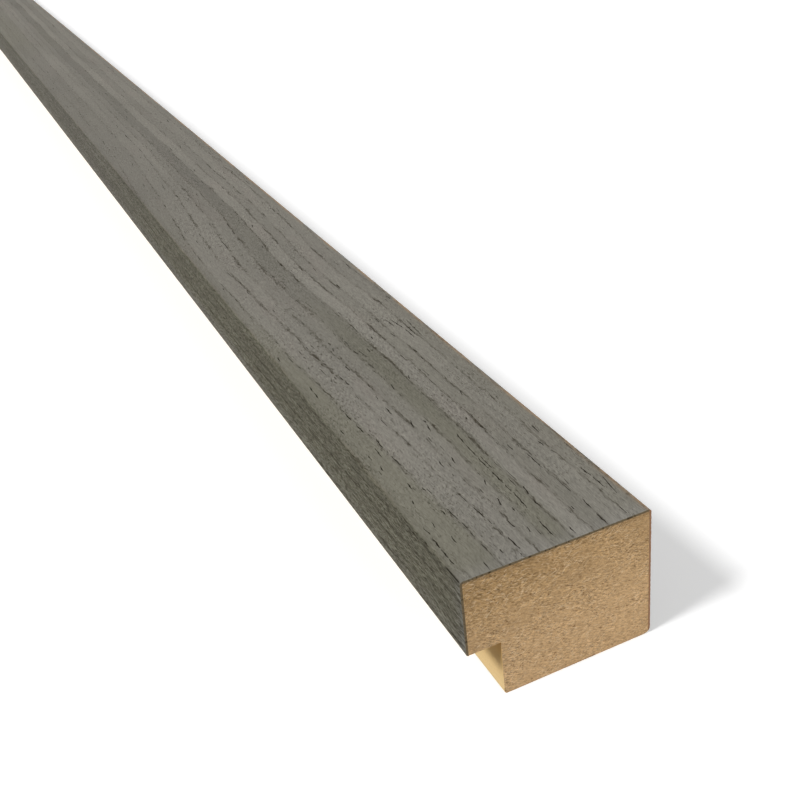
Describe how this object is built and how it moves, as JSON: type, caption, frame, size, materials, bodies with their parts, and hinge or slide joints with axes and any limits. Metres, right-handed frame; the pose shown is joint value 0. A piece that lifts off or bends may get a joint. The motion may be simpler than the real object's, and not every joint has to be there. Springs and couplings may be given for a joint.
{
  "type": "acoustic panel end trim",
  "caption": "Straight rebated MDF moulding wrapped in grey wood veneer. Its lip covers the felt edge of a slatted acoustic wall panel and its outer side finishes the run.",
  "frame": {"origin": "on the wall side, in the middle of the overall width and of the length", "axes": "+X across the face, from the rebate to the outer side; +Y along the length; +Z from the wall side to the veneered face, upwards as it lies on a floor"},
  "size_m": [0.028, 2.4, 0.021],
  "materials": {
    "raw_mdf": "matte",
    "grey_veneer": "matte"
  },
  "bodies": {
    "root": {"mdf_core": "raw_mdf", "veneer_wrap": "grey_veneer"}
  },
  "joints": []
}
